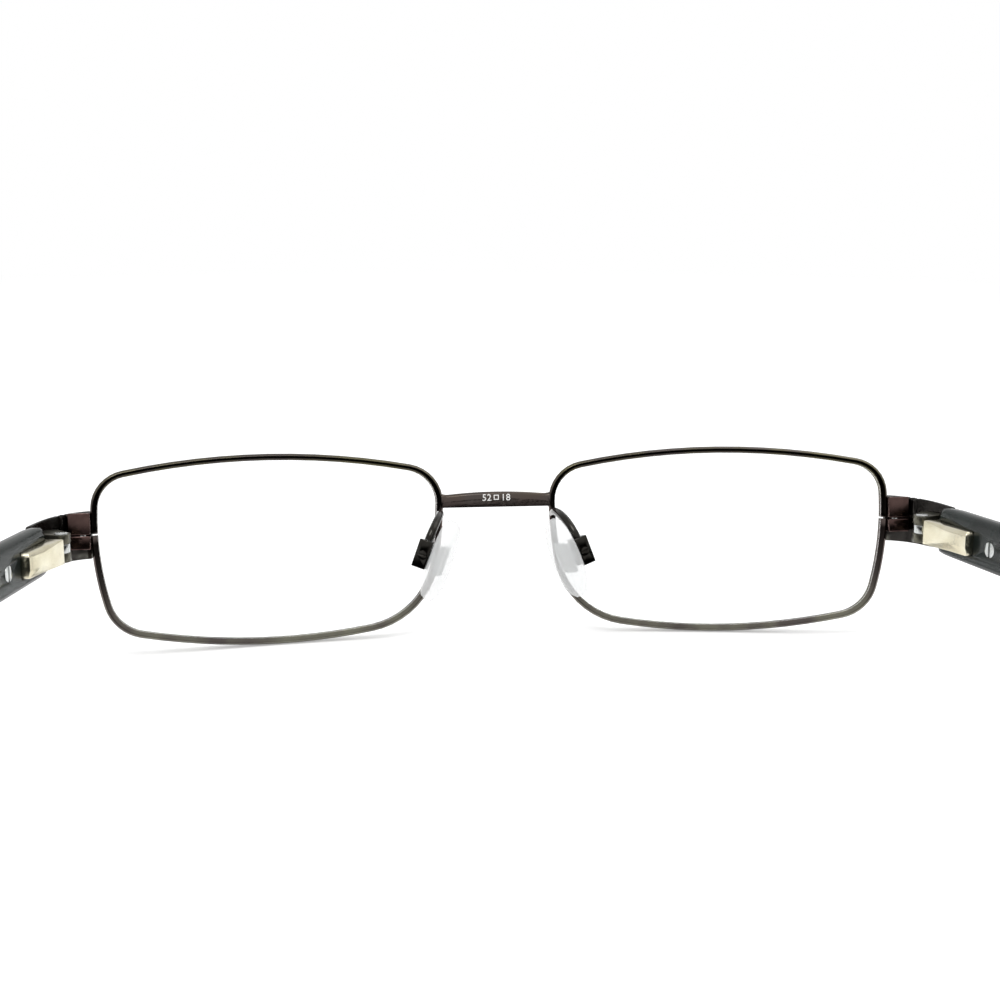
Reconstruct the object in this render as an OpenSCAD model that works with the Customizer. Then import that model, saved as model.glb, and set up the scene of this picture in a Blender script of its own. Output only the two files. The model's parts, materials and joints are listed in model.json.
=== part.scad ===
// Rectangular eyeglasses: a metal front with spring hinges and moulded temples.
// They stand open on the lower rims and the temple tips.
// X runs across the face, Y points forward, away from the wearer, and Z points up.

/* [Lenses] */
// Width of a lens, from groove to groove
lens_w = 52; // [48:1:56]
// Height of a lens, from groove to groove
lens_h = 28.3; // [26:0.1:32]
// Distance between the two lenses across the nose
nose_gap = 18; // [16:1:21]
// Thickness of a lens
lens_t = 1.3; // [1:0.1:1.6]
// Radius to which the lens surfaces are curved
lens_curve_r = 130; // [110:5:200]
// Angle by which each lens turns back on the temple side
face_form = 7; // [5:0.5:8]

/* [Lens outline] */
// Radius of the top side
top_r = 114; // [90:1:150]
// Radius of the side next to the nose
nasal_r = 67; // [50:0.1:80]
// Radius of the bottom side
bottom_r = 91; // [70:1:120]
// Radius of the side next to the temple
temporal_r = 45.5; // [38:0.1:60]
// Corner radius at the top, next to the nose
top_nasal_r = 5.7; // [4:0.1:7]
// Corner radius at the bottom, next to the nose
bottom_nasal_r = 12.3; // [9:0.1:14]
// Corner radius at the bottom, next to the temple
bottom_temporal_r = 6.4; // [4:0.1:8]
// Corner radius at the top, next to the temple
top_temporal_r = 5.2; // [4:0.1:7]
// Height of the middle of the nasal side above the lens centre
nasal_rise = 7.7; // [5:0.1:8]
// Height of the middle of the temporal side above the lens centre
temporal_rise = 4.6; // [3:0.1:6]
// Offset of the middle of the bottom side toward the temple
bottom_shift = 0.6; // [0:0.1:3]

/* [Eyewire] */
// Metal outside the bottom of the lens groove
rim_wall = 0.5; // [0.4:0.05:0.7]
// Depth of the lens groove
groove_depth = 0.5; // [0.4:0.05:0.6]
// Width of the lens groove at its mouth
groove_w = 0.7; // [0.5:0.05:0.9]
// Front to back depth of the eyewire
rim_depth = 1.7; // [1.4:0.1:2.2]

/* [Bridge] */
// Height of the bridge bar
bridge_h = 1.5; // [1.2:0.1:2]
// Front to back depth of the bridge bar
bridge_d = 1.6; // [1.3:0.1:2]
// Height of the bridge ends above the lens centres
bridge_z = 6.9; // [6:0.1:8.5]
// Rise of the middle of the bridge above its ends
bridge_bow = 0.5; // [0:0.1:2]

/* [Nose pads] */
// Length of a nose pad
pad_len = 12.5; // [11:0.5:15]
// Width of a nose pad
pad_w = 7.6; // [6:0.1:9]
// Thickness of a nose pad
pad_t = 2.8; // [2.4:0.1:3.4]
// Distance of a pad's middle from the middle of the nose
pad_x = 9.3; // [8:0.1:11]
// Distance of a pad's middle behind the lens plane
pad_back = 11; // [10:0.1:12]
// Height of a pad's middle above the lens centres
pad_z = -1.6; // [-4:0.1:0]
// Angle at which the pads spread downward
pad_frontal = 20; // [15:1:25]
// Angle at which the pads spread backward
pad_splay = 14; // [10:1:20]
// Diameter of the pad arm wire
pad_wire_d = 1.3; // [1:0.05:1.4]

/* [Endpieces] */
// Height of an endpiece where it leaves the eyewire
endpiece_h = 7.2; // [6.8:0.1:7.8]
// Height of an endpiece at its tip
endpiece_tip_h = 6.4; // [5.8:0.1:7]
// Thickness of an endpiece at the eyewire
endpiece_t = 1.1; // [0.9:0.1:1.3]
// Thickness of an endpiece at its tip
endpiece_tip_t = 0.7; // [0.5:0.1:1]
// Width of a closing block behind the endpiece
block_w = 2.9; // [2.6:0.1:3.2]
// Height of the joint between the two closing blocks above the lens centres
split_z = 3.1; // [2.6:0.1:3.3]
// Width of that joint and of the cut in the eyewire
split_gap = 0.25; // [0.15:0.05:0.4]
// Diameter of the screw that closes the eyewire
lock_screw_d = 1.1; // [1:0.05:1.2]

/* [Hinges] */
// Distance of a hinge pin from the middle of the face
hinge_x = 63.5; // [62.5:0.1:65.5]
// Distance of a hinge pin behind the lens plane
hinge_back = 13.5; // [13:0.1:15]
// Height of the middle of a hinge above the lens centres
hinge_z = 1.8; // [1.4:0.05:2.2]
// Radius of the hinge knuckles
knuckle_r = 1.15; // [1.1:0.05:1.3]
// Height of one of the three knuckles
knuckle_h = 1.35; // [1.2:0.05:1.5]
// Diameter of the hinge screw
pin_d = 1; // [0.9:0.05:1.1]
// Radial play of the hinge screw in the knuckles
pin_play = 0.03; // [0.02:0.01:0.06]
// Length of the spring casing
casing_len = 9.1; // [8.8:0.1:10.5]
// Height of the spring casing
casing_h = 3.6; // [3.3:0.1:4]
// Thickness of the spring casing at its front
casing_t = 3.4; // [3.2:0.1:3.8]
// Distance from the hinge pin to the front of the casing
casing_front = 2.4; // [2.2:0.05:2.6]
// Radius of the bore for the spring
spring_bore_r = 0.75; // [0.7:0.01:0.8]
// Radius of the spring wire
spring_wire_r = 0.12; // [0.1:0.01:0.13]
// Number of turns of the spring
spring_turns = 8; // [6:1:9]
// Diameter of the slider rod
rod_d = 0.6; // [0.5:0.05:0.65]
// Travel of the casing along the slider rod
spring_travel = 1; // [0.8:0.1:1.2]

/* [Temples] */
// Length of a temple along its middle, from the hinge pin to the tip
temple_len = 140; // [130:1:150]
// Distance from the hinge pin to the start of the ear bend
bend_at = 92; // [84:1:98]
// Radius of the ear bend
bend_r = 24; // [18:1:32]
// Angle of the ear bend
bend_deg = 42; // [35:1:50]
// Height of a temple at the front
temple_h = 7.3; // [6.8:0.1:7.6]
// Height of a temple before the bend
temple_mid_h = 4.8; // [4.2:0.1:5.6]
// Height of a temple near the tip
temple_tip_h = 6.4; // [5:0.1:7.5]
// Thickness of a temple at the front
temple_t = 3; // [2.8:0.1:3.4]
// Thickness of a temple from the middle to the tip
temple_mid_t = 2.3; // [2:0.1:2.8]
// Distance from the hinge pin to the inner face of a temple
temple_in = 1; // [0.9:0.05:1.2]
// Angle at which the temples spread from the hinge
temple_splay = 10; // [8:0.5:11]
// Radius to which the temples bow inward
bow_r = 450; // [450:50:2000]
// Angle between the front and a plane square to the temples
panto = 8.5; // [7:0.5:11]
// Thickness of the metal core in a temple
core_t = 0.8; // [0.7:0.05:1]
// Height of the metal core in a temple
core_h = 2.4; // [2:0.1:2.8]
// Distance from the hinge pin to the temple screw
temple_screw_at = 15.4; // [15:0.1:17]
// Diameter of the temple screw's head
temple_screw_head_d = 2.2; // [1.8:0.1:2.4]

/* [Hidden] */
left = -1;
right = 1;

// Small distances shared by the pieces
fit = 0.03;
close_fit = 0.01;
running_fit = 0.05;
overrun = 1;
round_fn = 48;

// Colours
gunmetal = "#2f2a2a";
brown_metal = "#42362f";
grey_metal = "#6f7168";
champagne = "#dcd7c5";
silver = "#c9ccce";
slate = "#3f4644";
glass = "#e6efee";
silicone = "#eef2f1";

// The lens outline is a ring of arcs: four sides and four corners that run into each other.
// u points from the lens centre to the temple and v points up. Each arc is
// [centre, radius, first angle, last angle, segments].
half_w = lens_w / 2;
half_h = lens_h / 2;
lens_centre_x = half_w + nose_gap / 2;
top_shift = -0.2;
top_c = [top_shift, half_h - top_r];
nasal_c = [nasal_r - half_w, nasal_rise];
bottom_c = [bottom_shift, bottom_r - half_h];
temporal_c = [half_w - temporal_r, temporal_rise];
side_segments = 12;
corner_segments = 8;

function circles_meet(c0, r0, c1, r1, toward) =
    let (
        d = c1 - c0,
        len = norm(d),
        along = (r0 * r0 - r1 * r1 + len * len) / (2 * len),
        off = sqrt(r0 * r0 - along * along),
        mid = c0 + d * along / len,
        side = [-d[1], d[0]] * off / len
    )
    side * toward > 0 ? mid + side : mid - side;

function angle_of(v) = atan2(v[1], v[0]) < -90 ? atan2(v[1], v[0]) + 360 : atan2(v[1], v[0]);

top_temporal_c = circles_meet(temporal_c, temporal_r - top_temporal_r, top_c, top_r - top_temporal_r, [1, 1]);
top_nasal_c = circles_meet(top_c, top_r - top_nasal_r, nasal_c, nasal_r - top_nasal_r, [-1, 1]);
bottom_nasal_c = circles_meet(
    nasal_c, nasal_r - bottom_nasal_r, bottom_c, bottom_r - bottom_nasal_r, [-1, -1]
);
bottom_temporal_c = circles_meet(
    bottom_c, bottom_r - bottom_temporal_r, temporal_c, temporal_r - bottom_temporal_r, [1, -1]
);

split_half = asin(split_gap / 2 / temporal_r);
split_angle = asin((split_z - temporal_rise) / temporal_r);
outline_arcs = [
    [temporal_c, temporal_r, split_angle + split_half, angle_of(top_temporal_c - temporal_c), 6],
    [
        top_temporal_c, top_temporal_r, angle_of(top_temporal_c - temporal_c),
        angle_of(top_temporal_c - top_c), corner_segments
    ],
    [top_c, top_r, angle_of(top_temporal_c - top_c), angle_of(top_nasal_c - top_c), side_segments],
    [
        top_nasal_c, top_nasal_r, angle_of(top_nasal_c - top_c), angle_of(top_nasal_c - nasal_c),
        corner_segments
    ],
    [nasal_c, nasal_r, angle_of(top_nasal_c - nasal_c), angle_of(bottom_nasal_c - nasal_c), 5],
    [
        bottom_nasal_c, bottom_nasal_r, angle_of(bottom_nasal_c - nasal_c),
        angle_of(bottom_nasal_c - bottom_c), corner_segments + 2
    ],
    [
        bottom_c, bottom_r, angle_of(bottom_nasal_c - bottom_c), angle_of(bottom_temporal_c - bottom_c),
        side_segments
    ],
    [
        bottom_temporal_c, bottom_temporal_r, angle_of(bottom_temporal_c - bottom_c),
        angle_of(bottom_temporal_c - temporal_c), corner_segments
    ],
    [temporal_c, temporal_r, angle_of(bottom_temporal_c - temporal_c), split_angle - split_half, 8]
];

// Unit vectors and outline points, one for each step round the lens. The outline at a
// distance inside the groove bottom keeps the same centres and angles.
function arc_step(arc, inset, i) =
    let (last = arc[3] < arc[2] ? arc[3] + 360 : arc[3], a = arc[2] + (last - arc[2]) * i / arc[4])
    arc[0] + (arc[1] - inset) * [cos(a), sin(a)];
function outline(inset) = concat(
    [for (arc = outline_arcs) for (i = [0:arc[4] - 1]) arc_step(arc, inset, i)],
    [arc_step(outline_arcs[8], inset, outline_arcs[8][4])]
);

// A point of the front, from its place in the lens plane and its distance before it.
function lens_sag(uv) = sqrt(lens_curve_r * lens_curve_r - uv * uv) - lens_curve_r;
function on_lens(uv, before) =
    let (w = lens_sag(uv) + before)
    [
        lens_centre_x + uv[0] * cos(face_form) + w * sin(face_form),
        w * cos(face_form) - uv[0] * sin(face_form),
        uv[1]
    ];

// A solid through a row of rings, which all have the same number of points. Each ring runs
// anticlockwise for someone whom the row comes toward. Ends close on their first point, or on tips.
function skin_faces(k, m, tipped) = [
    for (i = [0:k - 2])
    for (j = [0:m - 1])
    let (a = i * m + j, b = i * m + (j + 1) % m)
    each [[a, a + m, b + m], [a, b + m, b]],
    for (j = tipped ? [0:m - 1] : [1:m - 2]) [tipped ? k * m : 0, j, (j + 1) % m],
    for (j = tipped ? [0:m - 1] : [1:m - 2])
    let (end = (k - 1) * m)
    [tipped ? k * m + 1 : end, end + (j + 1) % m, end + j]
];
module skin(rings, tips = []) {
    points = concat([for (ring = rings) each ring], tips);
    polyhedron(points, skin_faces(len(rings), len(rings[0]), len(tips) > 0), convexity = 6);
}

// Places: the front leans by the pantoscopic angle and by the pitch at which rims and tips
// share the ground. The hinge frame has its origin on the pin, Y forward along the temple.
pin_at = [hinge_x, -hinge_back, hinge_z];
function turn_x(p, a) = [p[0], p[1] * cos(a) - p[2] * sin(a), p[1] * sin(a) + p[2] * cos(a)];
function turn_z(p, a) = [p[0] * cos(a) - p[1] * sin(a), p[0] * sin(a) + p[1] * cos(a), p[2]];
function hinge_to_front(p) = pin_at + turn_x(turn_z(p, temple_splay), panto);

module in_world() {
    translate([0, -world_y, -world_z]) rotate([-panto - pitch, 0, 0]) children();
}
module on_side(side) {
    if (side == left) mirror([1, 0, 0]) in_world() children();
    else in_world() children();
}
module at_hinge() {
    translate(pin_at) rotate([panto, 0, 0]) children();
}
module at_temple() {
    at_hinge() rotate([0, 0, temple_splay]) children();
}
module at_pad() {
    translate([pad_x, -pad_back, pad_z]) rotate([0, -pad_frontal, 0]) rotate([0, 0, pad_splay]) children();
}

// Eyewire: a grooved wire that runs round the lens from one side of the split to the other.
rim_outside = -rim_wall;
rim_inside = groove_depth;
rim_shoulder = rim_outside * 0.4;
rim_half_depth = rim_depth / 2;
rim_lip_half = rim_depth * 0.44;
rim_crown_half = rim_depth * 0.27;
rim_profile = [
    [0, 0], [rim_inside, -groove_w / 2], [rim_inside, -rim_lip_half], [rim_shoulder, -rim_half_depth],
    [rim_outside, -rim_crown_half], [rim_outside, rim_crown_half], [rim_shoulder, rim_half_depth],
    [rim_inside, rim_lip_half], [rim_inside, groove_w / 2]
];
rim_lines = [for (p = rim_profile) [for (uv = outline(p[0])) on_lens(uv, p[1])]];
rim_rings = [for (i = [0:len(rim_lines[0]) - 1]) [for (line = rim_lines) line[i]]];

module eyewire(side) {
    color(gunmetal) on_side(side) skin(rim_rings);
}

// Lens: two parallel curved faces with a bevelled edge that lies in the groove.
lens_lip = rim_inside + 2 * fit;
lens_bevel = groove_w / 2 - fit;
lens_steps = [0.3, 0.65];
function lens_ring(inset, before, shrink = 1) = [for (uv = outline(inset)) on_lens(uv * shrink, before)];

module lens(side) {
    color(glass, 0.35) on_side(side) skin(
        [
            for (s = lens_steps) lens_ring(lens_lip, lens_t / 2, s),
            lens_ring(lens_lip, lens_t / 2),
            lens_ring(lens_lip, lens_bevel),
            lens_ring(fit, 0),
            lens_ring(lens_lip, -lens_bevel),
            lens_ring(lens_lip, -lens_t / 2),
            for (i = [len(lens_steps) - 1:-1:0]) lens_ring(lens_lip, -lens_t / 2, lens_steps[i])
        ],
        [on_lens([0, 0], lens_t / 2), on_lens([0, 0], -lens_t / 2)]
    );
}

// Space that part of the eyewire fills, groove and all, for what is soldered to its outside.
temporal_run = [8, 0];
nasal_run = [3, 4, 5];
function outline_run(run, inset) = [
    for (k = [0:len(run) - 1])
    let (arc = outline_arcs[run[k]], last = k == len(run) - 1 || run[k + 1] < run[k])
    for (i = [0:last ? arc[4] : arc[4] - 1]) arc_step(arc, inset, i)
];
module rim_skin(run, room) {
    lines = [
        for (p = [
            [rim_inside, -rim_lip_half], [rim_shoulder, -rim_half_depth - room],
            [rim_outside - room, -rim_crown_half], [rim_outside - room, rim_crown_half],
            [rim_shoulder, rim_half_depth + room], [rim_inside, rim_lip_half]
        ])
        [for (uv = outline_run(run, p[0])) on_lens(uv, p[1])]
    ];
    skin([for (i = [0:len(lines[0]) - 1]) [for (line = lines) line[i]]]);
}

// Bridge: a bar bowed up between the eyewires, with ends that spread down along them.
function nasal_edge_x(z) =
    let (u = nasal_c[0] - sqrt(pow(nasal_r + rim_wall, 2) - pow(z - nasal_rise, 2)))
    on_lens([u, z], 0)[0];
bridge_y = on_lens([-half_w - rim_wall, bridge_z], 0)[1];
bridge_flare = 1;
bridge_flare_run = 1.3;
bridge_lap = 0.3;
bridge_steps = 28;
bridge_corner = 0.35;

module bridge() {
    half = nasal_edge_x(bridge_z);
    color(gunmetal) in_world() difference() {
        skin([
            for (i = [-bridge_steps / 2:bridge_steps / 2])
            let (
                f = 2 * i / bridge_steps,
                reach = sign(f) * pow(abs(f), 0.6),
                near = max(0, 1 - (1 - abs(reach)) * half / bridge_flare_run),
                flare = bridge_flare * near * near,
                z = bridge_z + bridge_bow * (1 - reach * reach),
                top = z + bridge_h / 2 + flare * 0.3,
                low = z - bridge_h / 2 - flare,
                d = bridge_d / 2
            )
            [
                for (p = [
                    [-d, low + bridge_corner], [bridge_corner - d, low], [d - bridge_corner, low],
                    [d, low + bridge_corner], [d, top - bridge_corner], [d - bridge_corner, top],
                    [bridge_corner - d, top], [-d, top - bridge_corner]
                ])
                [reach * (nasal_edge_x(p[1]) + bridge_lap), bridge_y + p[0], p[1]]
            ]
        ]);
        rim_skin(nasal_run, close_fit);
        mirror([1, 0, 0]) rim_skin(nasal_run, close_fit);
    }
}

// Endpiece: a band that stands before the eyewire and bends back round the hinge. Its plan
// lies between two curves that end along the temple. Places are relative to the hinge pin.
plan_rim_x = lens_centre_x + (half_w + rim_wall) * cos(face_form) - hinge_x;
plan_rim_y = on_lens([half_w + rim_wall, split_z], 0)[1] + hinge_back;
band_before = 0.8;
band_start_x = plan_rim_x - 0.6 * rim_wall;
band_back = [band_start_x, plan_rim_y + band_before];
band_front = band_back + [0, endpiece_t];
band_slope = -15;
band_start_pull = 4.5;
band_end_pull = 5;
band_tip_back = 2.2;
band_lap = 0.4;
band_tip_x = temple_in + temple_t - band_lap;
function in_plan(p) = [for (i = [0:1]) turn_z([p[0], p[1], 0], temple_splay)[i]];
band_steps = 14;
function bezier(a, b, c, d, t) =
    a * pow(1 - t, 3) + b * 3 * t * pow(1 - t, 2) + c * 3 * t * t * (1 - t) + d * pow(t, 3);
function band_curve(from, tip_x) =
    let (
        pull = from + band_start_pull * [cos(band_slope), sin(band_slope)],
        hold = in_plan([tip_x, band_end_pull - band_tip_back]),
        to = in_plan([tip_x, -band_tip_back])
    )
    [for (i = [0:band_steps]) bezier(from, pull, hold, to, i / band_steps)];
band_inner = band_curve(band_back, band_tip_x);
band_outer = band_curve(band_front, band_tip_x + endpiece_tip_t);
band_rise = -0.1;
band_low = band_rise - endpiece_h / 2;
band_high = band_low + endpiece_h;
band_narrows_at = plan_rim_y / 2;

module endpiece(side) {
    notch_r = 0.25;
    notch_places = [plan_rim_y - 1.5, plan_rim_y - 0.6];
    far_y = band_front[1] + overrun;
    near_y = -2 * band_tip_back;
    half_tip = endpiece_tip_h / 2;
    color(gunmetal) on_side(side) difference() {
        at_hinge() intersection() {
            translate([0, 0, band_low - overrun])
                linear_extrude(endpiece_h + 2 * overrun)
                    polygon(concat(band_outer, [for (i = [band_steps:-1:0]) band_inner[i]]));
            rotate([90, 0, 90])
                translate([0, 0, band_start_x - overrun])
                    linear_extrude(band_tip_x - band_start_x + 3 * overrun)
                        polygon([
                            [far_y, band_low], [band_narrows_at, band_low],
                            [near_y, temple_rise - half_tip], [near_y, temple_rise + half_tip],
                            [band_narrows_at, band_high], [far_y, band_high]
                        ]);
        }
        rim_skin(temporal_run, close_fit);
        for (y = notch_places)
            at_hinge() translate([band_start_x, y, band_high])
                rotate([0, 90, 0])
                    cylinder(h = band_tip_x - band_start_x, r = notch_r, $fn = round_fn);
    }
}

// Closing blocks: they stand behind the endpiece on both sides of the split, lapped a little
// behind the eyewire, and the lock screw pulls them together.
upper_block_h = 3.3;
lower_block_h = 2.1;
lock_head_d = 1.67 * lock_screw_d;
lock_head_h = 0.6;
lock_wall = 0.15;
lock_before = 0.45;
block_d = lock_head_d + 2 * (lock_wall + fit) + lock_before;
block_lap = 0.3;
block_x = band_start_x + hinge_x - block_lap;
block_back_y = band_back[1] - hinge_back - block_d;
block_top = split_z + upper_block_h;
block_bottom = split_z - lower_block_h;
lock_end_play = 0.3;
lock_shank_len = upper_block_h + lower_block_h - lock_head_h - lock_end_play;
lock_at = [block_x + block_lap, block_back_y] + (lock_head_d / 2 + lock_wall + fit) * [1, 1];

// What lies inside the endpiece, in plan, down to a distance beyond its ends.
function inside_band(reach) = concat(
    [for (p = band_inner) p - [fit, fit]],
    [
        [band_tip_x + reach, -reach], [band_tip_x + reach, band_back[1] + reach],
        [band_back[0] - reach, band_back[1] + reach], [band_back[0] - reach, band_back[1] - fit]
    ]
);

module closing_block(z0, z1) {
    difference() {
        translate([block_x, block_back_y, z0]) cube([block_lap + block_w, block_d + endpiece_t, z1 - z0]);
        at_hinge() translate([0, 0, -2 * endpiece_h])
            linear_extrude(4 * endpiece_h) polygon(inside_band(endpiece_h));
        rim_skin(temporal_run, close_fit);
        translate([lock_at[0], lock_at[1], block_bottom - overrun])
            cylinder(h = block_top - block_bottom + 2 * overrun, d = lock_screw_d + 2 * fit, $fn = round_fn);
        translate([lock_at[0], lock_at[1], block_bottom - overrun])
            cylinder(h = overrun + lock_head_h + fit, d = lock_head_d + 2 * fit, $fn = round_fn);
    }
}
module upper_closing_block(side) {
    color(brown_metal) on_side(side) closing_block(split_z + split_gap / 2, block_top);
}
module lower_closing_block(side) {
    color(brown_metal) on_side(side) closing_block(block_bottom, split_z - split_gap / 2);
}

// A slotted screw along Z: the head's underside lies at the origin and the shank points down.
module slotted_screw(head_d, head_h, shank_d, shank_len) {
    slot_w = 0.18 * head_d;
    difference() {
        cylinder(h = head_h, d = head_d, $fn = round_fn);
        translate([-head_d, -slot_w / 2, head_h / 2]) cube([2 * head_d, slot_w, head_h]);
    }
    translate([0, 0, -shank_len]) cylinder(h = shank_len, d = shank_d, $fn = round_fn);
}
module rim_lock_screw(side) {
    color(silver) on_side(side)
        translate([lock_at[0], lock_at[1], block_bottom + lock_head_h])
            rotate([180, 0, 0])
                slotted_screw(lock_head_d, lock_head_h, lock_screw_d, lock_shank_len);
}

// Front hinge: two knuckles with webs that reach the inside of the endpiece.
bore_r = pin_d / 2 + pin_play;
stack_half = 1.5 * knuckle_h;
pin_head_wall = 0.25;
pin_head_d = 2 * (knuckle_r - pin_head_wall);
pin_head_h = 0.5;
pin_head_sunk = 0.4;
web_far = 6.2;
web_reach = 3;

module front_knuckle(z0) {
    translate([0, 0, z0]) difference() {
        union() {
            cylinder(h = knuckle_h, r = knuckle_r, $fn = round_fn);
            difference() {
                linear_extrude(knuckle_h)
                    polygon([
                        [-knuckle_r, 0], [knuckle_r * 0.8, -knuckle_r * 0.6], [web_far, knuckle_r],
                        [web_far, web_reach], [knuckle_r, web_reach], [-knuckle_r, knuckle_r * 0.6]
                    ]);
                translate([0, 0, -overrun])
                    linear_extrude(knuckle_h + 2 * overrun) polygon(inside_band(endpiece_h));
            }
        }
        translate([0, 0, -overrun]) cylinder(h = knuckle_h + 2 * overrun, r = bore_r, $fn = round_fn);
    }
}
module front_hinge(side) {
    color(grey_metal) on_side(side) at_hinge() difference() {
        union() {
            front_knuckle(knuckle_h / 2);
            front_knuckle(-stack_half);
        }
        translate([0, 0, stack_half - pin_head_sunk])
            cylinder(h = overrun, d = pin_head_d + 2 * running_fit, $fn = round_fn);
    }
}
module hinge_screw(side) {
    color(silver) on_side(side) at_hinge() translate([0, 0, stack_half - pin_head_sunk + fit])
        slotted_screw(pin_head_d, pin_head_h, pin_d, 2 * stack_half - pin_head_sunk);
}

// Spring hinge: the slider's knuckle turns on the screw, and its rod runs back through the
// front wall of the casing and through the spring to a stop. When the temple is pressed
// outward the casing moves back and squeezes the spring against the stop.
casing_in = -1.3;
casing_out = casing_in + casing_t;
casing_taper = 1.05;
rod_x = 0.7;
casing_back = casing_front + casing_len;
casing_wall = 1;
stop_r = spring_bore_r - 2 * running_fit;
stop_len = 0.8;
stop_play = 0.4;
stop_back = casing_back - casing_wall - stop_play;
spring_back = stop_back - stop_len;
spring_front = casing_front + casing_wall + spring_travel + running_fit;
spring_mean_r = (spring_bore_r + rod_d / 2) / 2;
rod_from = bore_r + 0.3;

// Lays a shape drawn along Z so that it points back along the temple, from a distance behind the pin.
module back_from(s, x = 0) {
    translate([x, -s, 0]) rotate([90, 0, 0]) children();
}
module slider(side) {
    knuckle_play = 0.04;
    thick = knuckle_h - 2 * knuckle_play;
    neck_w = 1.2 * knuckle_r;
    neck_len = casing_front - running_fit;
    color(silver) on_side(side) at_temple() {
        difference() {
            union() {
                translate([0, 0, -thick / 2]) cylinder(h = thick, r = knuckle_r, $fn = round_fn);
                translate([rod_x - neck_w / 2, -neck_len, -thick / 2]) cube([neck_w, neck_len, thick]);
                back_from(rod_from, rod_x) cylinder(h = stop_back - rod_from, d = rod_d, $fn = round_fn);
            }
            translate([0, 0, -thick]) cylinder(h = 2 * thick, r = bore_r, $fn = round_fn);
        }
        back_from(spring_back, rod_x) cylinder(h = stop_len, r = stop_r, $fn = round_fn);
    }
}

// Inner face of the casing: it slopes back toward the temple. Two facets above and two below
// narrow it to a waist, given by its place and half height round a middle line.
waist_at = 7.7;
waist_half = 0.8;
waist_depth = 0.45;
rear_half = 0.95;
waist_rise = 0.35;
function casing_face(s, z) = [casing_in + casing_taper * (s - casing_front) / casing_len, -s, z];

// Everything on one side of the plane through three points, up to a size.
module beyond_plane(a, b, c, size) {
    n = cross(b - a, c - a);
    translate(a)
        rotate([0, acos(n[2] / norm(n)), atan2(n[1], n[0])])
            translate([-size, -size, 0])
                cube([2 * size, 2 * size, size]);
}
module casing_facets(up) {
    edge_z = up * casing_h / 2;
    corner = casing_face(casing_front, edge_z);
    waist = casing_face(waist_at, waist_rise + up * waist_half);
    under = casing_face(waist_at, edge_z) + [waist_depth, 0, 0];
    rear = casing_face(casing_back, waist_rise + up * rear_half);
    size = 2 * casing_len;
    intersection() {
        if (up > 0) beyond_plane(corner, waist, under, size);
        else beyond_plane(corner, under, waist, size);
        translate([-size, -waist_at, -size]) cube(2 * size);
    }
    intersection() {
        if (up > 0) beyond_plane(waist, rear, under, size);
        else beyond_plane(waist, under, rear, size);
        translate([-size, -waist_at - 2 * size, -size]) cube(2 * size);
    }
}
module spring_casing(side) {
    end_r = 0.6;
    half = casing_h / 2;
    color(champagne) on_side(side) at_temple() difference() {
        intersection() {
            translate([casing_in, 0, 0]) rotate([90, 0, 90])
                linear_extrude(casing_t)
                    polygon([
                        [-casing_front, -half], [-casing_front, half],
                        for (a = [90:15:180]) [-casing_back + end_r, half - end_r] + end_r * [cos(a), sin(a)],
                        for (a = [180:15:270]) [-casing_back + end_r, end_r - half] + end_r * [cos(a), sin(a)]
                    ]);
            translate([0, 0, -casing_h])
                linear_extrude(2 * casing_h)
                    polygon([
                        [casing_in, -casing_front], [casing_in + casing_taper, -casing_back],
                        [casing_out, -casing_back], [casing_out, -casing_front]
                    ]);
        }
        for (up = [-1, 1]) casing_facets(up);
        back_from(casing_front + casing_wall, rod_x)
            cylinder(h = casing_len - 2 * casing_wall, r = spring_bore_r, $fn = round_fn);
        back_from(0, rod_x) cylinder(h = casing_back / 2, d = rod_d + 2 * running_fit, $fn = round_fn);
    }
}
spring_steps = 10;
spring_sides = 6;
module spring(side) {
    pitch_len = (spring_back - spring_front - 2 * spring_wire_r - 2 * fit) / spring_turns;
    color(silver) on_side(side) at_temple() skin([
        for (i = [0:spring_turns * spring_steps])
        let (
            a = 360 * i / spring_steps,
            y = spring_front + spring_wire_r + fit + pitch_len * i / spring_steps
        )
        [
            for (j = [0:spring_sides - 1])
            let (b = 360 * j / spring_sides, r = spring_mean_r + spring_wire_r * cos(b))
            [rod_x + r * cos(a), -y - spring_wire_r * sin(b), -r * sin(a)]
        ]
    ]);
}

// Temple: the middle line runs back, bows inward and bends down behind the ear.
temple_mid_x = temple_in + temple_t / 2;
straight_to = 26;
slim_from = 56;
bow_from = 22;
nose_from = 2.7;
temple_rise = 0.2;
mid_h_before = 12;
tip_h_before = 12;
bend_len = bend_r * bend_deg * PI / 180;
function bent(s) = bend_deg * min(1, max(0, (s - bend_at) / bend_len));
function temple_line(s) =
    let (b = bent(s), straight = max(0, s - bend_at - bend_len), bow = max(0, s - bow_from))
    [
        -bow * bow / (2 * bow_r),
        -min(s, bend_at) - bend_r * sin(b) - straight * cos(b),
        -bend_r * (1 - cos(b)) - straight * sin(b)
    ];
function temple_point(s, x, z) = temple_line(s) + [x, -z * sin(bent(s)), z * cos(bent(s))];
function temple_half_h(s) = lookup(s, [
    [straight_to, temple_h / 2], [bend_at - mid_h_before, temple_mid_h / 2],
    [temple_len - tip_h_before, temple_tip_h / 2]
]);
function temple_lift(s) = lookup(s, [[straight_to, temple_rise], [bend_at - mid_h_before, 0]]);
function temple_half_t(s) = lookup(s, [[straight_to, temple_t / 2], [slim_from, temple_mid_t / 2]]);
function temple_offset(s) = temple_mid_x + 1.4 * (temple_half_t(s) - temple_t / 2);
temple_sides = 16;
top_roundness = 0.6;
low_roundness = 0.35;
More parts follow.
